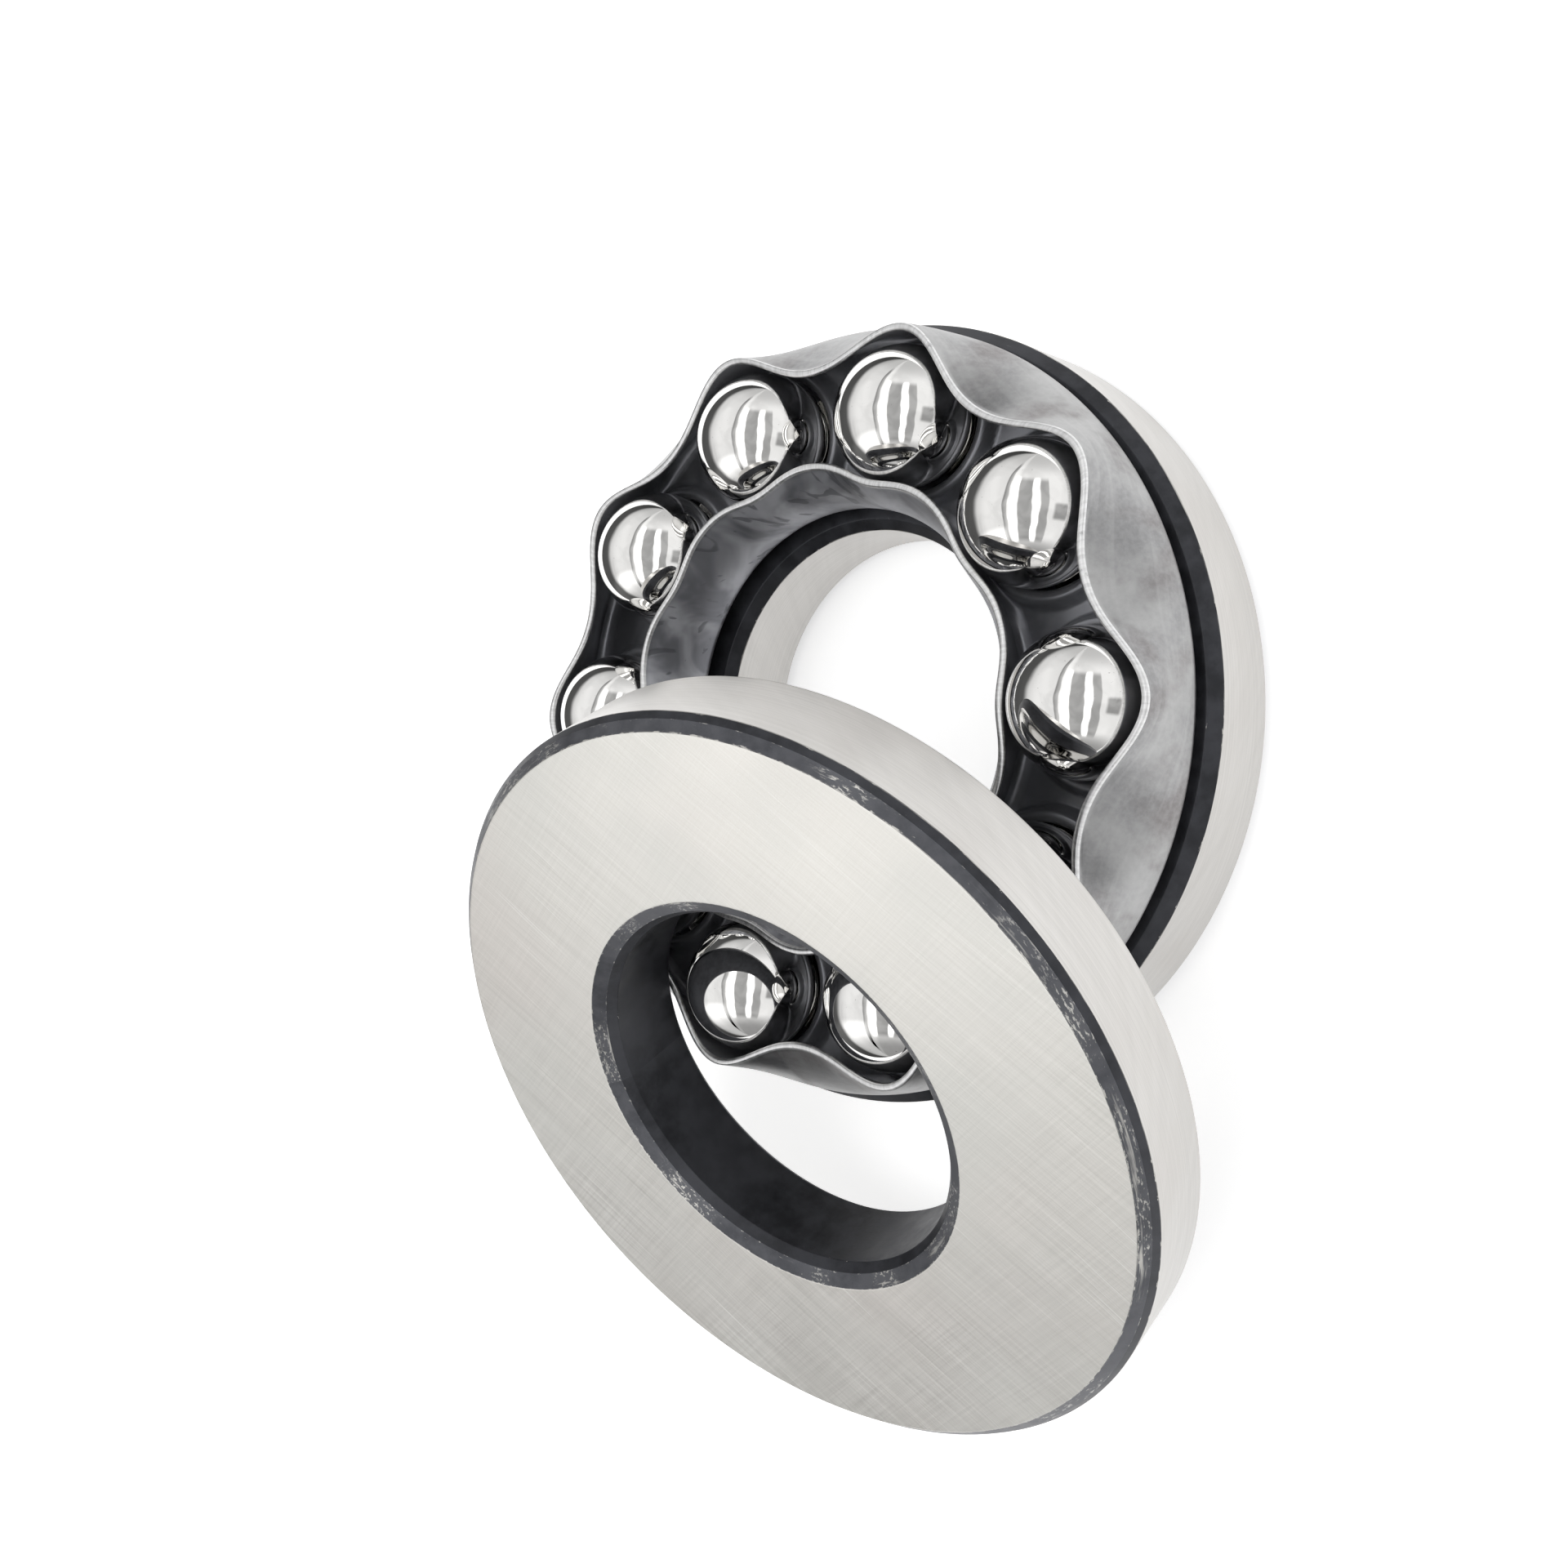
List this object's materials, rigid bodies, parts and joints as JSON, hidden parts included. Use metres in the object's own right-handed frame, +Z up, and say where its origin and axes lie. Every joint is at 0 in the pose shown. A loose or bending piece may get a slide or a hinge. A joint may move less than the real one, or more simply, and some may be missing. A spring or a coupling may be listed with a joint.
{
  "type": "thrust ball bearing",
  "caption": "Single-direction thrust ball bearing shown opened: shaft washer with pressed cage and balls seated on it, housing washer leaning on them.",
  "frame": {"origin": "on the bearing axis at the shaft washer's seat, which lies on the floor", "axes": "+Z up along the bearing axis; the housing washer leans off towards -X with its seat face up"},
  "size_m": [0.2963, 0.2228, 0.1149],
  "materials": {
    "washer_steel": "ground faces, black heat-treated edges",
    "cage_steel": "satin pressed sheet, dark inside",
    "ball_steel": "mirror"
  },
  "bodies": {
    "cage": {"cage": "cage_steel"},
    "shaft_washer": {"shaft_washer": "washer_steel"},
    "housing_washer": {"housing_washer": "washer_steel"},
    "ball_01": {"ball_01": "ball_steel"},
    "ball_02": {"ball_02": "ball_steel"},
    "ball_03": {"ball_03": "ball_steel"},
    "ball_04": {"ball_04": "ball_steel"},
    "ball_05": {"ball_05": "ball_steel"},
    "ball_06": {"ball_06": "ball_steel"},
    "ball_07": {"ball_07": "ball_steel"},
    "ball_08": {"ball_08": "ball_steel"},
    "ball_09": {"ball_09": "ball_steel"},
    "ball_10": {"ball_10": "ball_steel"}
  },
  "joints": [
    {"name": "shaft_washer_spin", "type": "hinge", "parent": "cage", "child": "shaft_washer", "pos_m": [0, 0, 0.01375], "axis": [0, 0, 1], "continuous": true},
    {"name": "ball_01_spin", "type": "hinge", "parent": "cage", "child": "ball_01", "pos_m": [0.07636, -0.01777, 0.0425], "axis": [0.974, -0.2267, 0], "continuous": true},
    {"name": "ball_02_spin", "type": "hinge", "parent": "cage", "child": "ball_02", "pos_m": [0.07222, 0.03051, 0.0425], "axis": [0.9212, 0.3891, 0], "continuous": true},
    {"name": "ball_03_spin", "type": "hinge", "parent": "cage", "child": "ball_03", "pos_m": [0.0405, 0.06713, 0.0425], "axis": [0.5165, 0.8563, 0], "continuous": true},
    {"name": "ball_04_spin", "type": "hinge", "parent": "cage", "child": "ball_04", "pos_m": [-0.0067, 0.07811, 0.0425], "axis": [-0.0854, 0.9963, 0], "continuous": true},
    {"name": "ball_05_spin", "type": "hinge", "parent": "cage", "child": "ball_05", "pos_m": [-0.05133, 0.05926, 0.0425], "axis": [-0.6547, 0.7559, 0], "continuous": true},
    {"name": "ball_06_spin", "type": "hinge", "parent": "cage", "child": "ball_06", "pos_m": [-0.07636, 0.01777, 0.0425], "axis": [-0.974, 0.2267, 0], "continuous": true},
    {"name": "ball_07_spin", "type": "hinge", "parent": "cage", "child": "ball_07", "pos_m": [-0.07222, -0.03051, 0.0425], "axis": [-0.9212, -0.3891, 0], "continuous": true},
    {"name": "ball_08_spin", "type": "hinge", "parent": "cage", "child": "ball_08", "pos_m": [-0.0405, -0.06713, 0.0425], "axis": [-0.5165, -0.8563, 0], "continuous": true},
    {"name": "ball_09_spin", "type": "hinge", "parent": "cage", "child": "ball_09", "pos_m": [0.0067, -0.07811, 0.0425], "axis": [0.0854, -0.9963, 0], "continuous": true},
    {"name": "ball_10_spin", "type": "hinge", "parent": "cage", "child": "ball_10", "pos_m": [0.05133, -0.05926, 0.0425], "axis": [0.6547, -0.7559, 0], "continuous": true},
    {"name": "housing_washer_spin", "type": "hinge", "parent": "cage", "child": "housing_washer", "pos_m": [-0.09274, -0.0124, 0.05767], "axis": [-0.4408, -0.058, 0.8957], "continuous": true}
  ],
  "couplings": [
    {"joint": "ball_01_spin", "follows": "shaft_washer_spin", "ratio": 4.2944},
    {"joint": "ball_02_spin", "follows": "shaft_washer_spin", "ratio": 4.2944},
    {"joint": "ball_03_spin", "follows": "shaft_washer_spin", "ratio": 4.2944},
    {"joint": "ball_04_spin", "follows": "shaft_washer_spin", "ratio": 4.2944},
    {"joint": "ball_05_spin", "follows": "shaft_washer_spin", "ratio": 4.2944},
    {"joint": "ball_06_spin", "follows": "shaft_washer_spin", "ratio": 4.2944},
    {"joint": "ball_07_spin", "follows": "shaft_washer_spin", "ratio": 4.2944},
    {"joint": "ball_08_spin", "follows": "shaft_washer_spin", "ratio": 4.2944},
    {"joint": "ball_09_spin", "follows": "shaft_washer_spin", "ratio": 4.2944},
    {"joint": "ball_10_spin", "follows": "shaft_washer_spin", "ratio": 4.2944}
  ]
}
